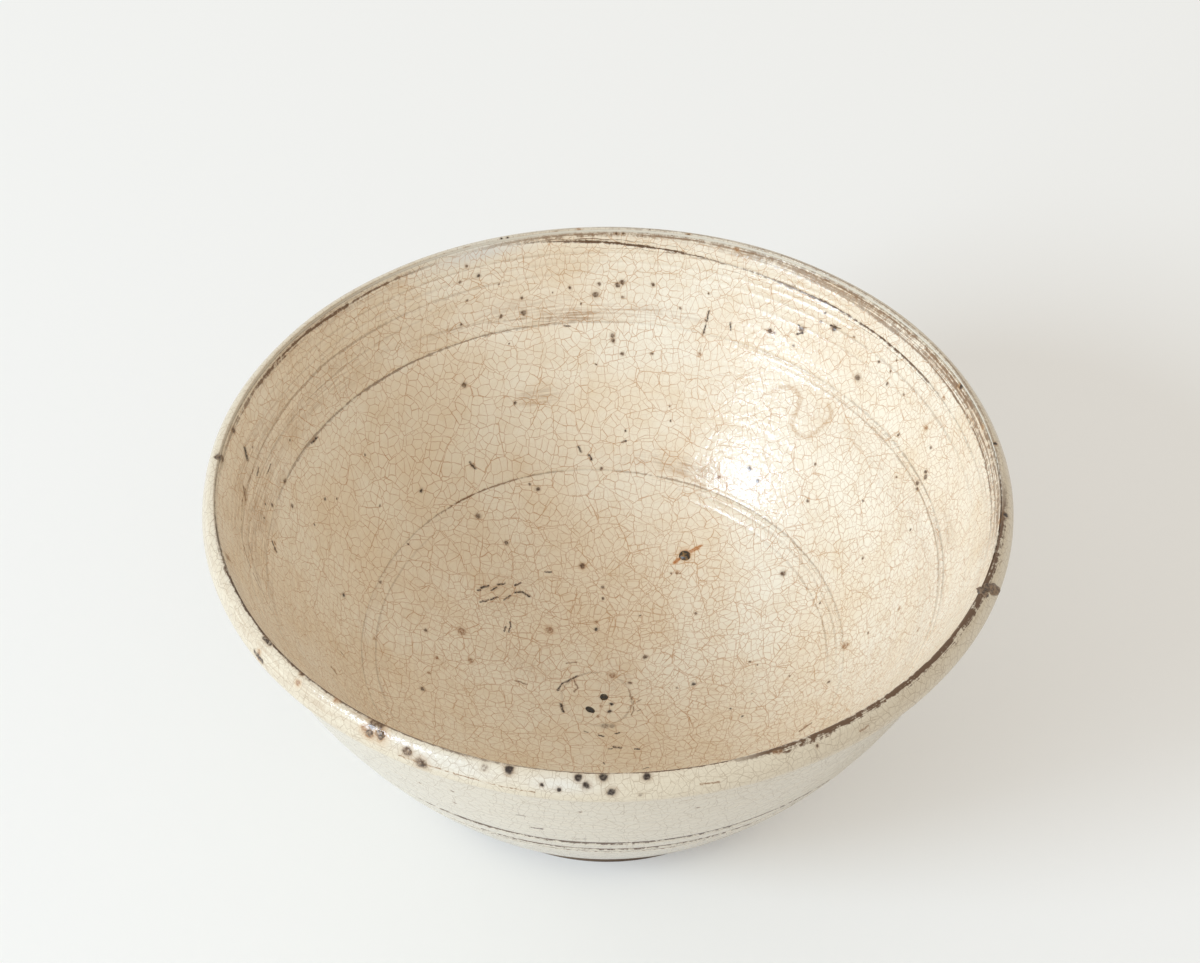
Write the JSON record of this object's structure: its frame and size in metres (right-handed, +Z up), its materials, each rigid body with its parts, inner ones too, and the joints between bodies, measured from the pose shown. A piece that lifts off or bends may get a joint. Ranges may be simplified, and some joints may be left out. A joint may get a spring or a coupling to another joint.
{
  "type": "tea bowl",
  "caption": "Hand-thrown tea bowl with a flared round lip, ledged inner wall and luted foot ring, in crackled cream glaze.",
  "frame": {"origin": "under the centre of the foot ring, on the surface the bowl stands on, in the middle of the bowl seen from above", "axes": "+Z up through the mouth; +Y away from the viewer of the picture, +X to the right"},
  "size_m": [0.148, 0.1478, 0.0702],
  "materials": {
    "clay": "bare fired stoneware, matt and slightly gritty",
    "glaze": "glossy cream glaze with a fine brown crackle",
    "iron": "dark iron grain, melted smooth"
  },
  "bodies": {
    "root": {"bowl_body": "clay", "foot_ring": "clay", "inside_glaze": "glaze", "outside_glaze": "glaze", "well_grain_large": "iron", "well_grain_small": "iron", "wall_iron_bead": "iron"}
  },
  "joints": []
}
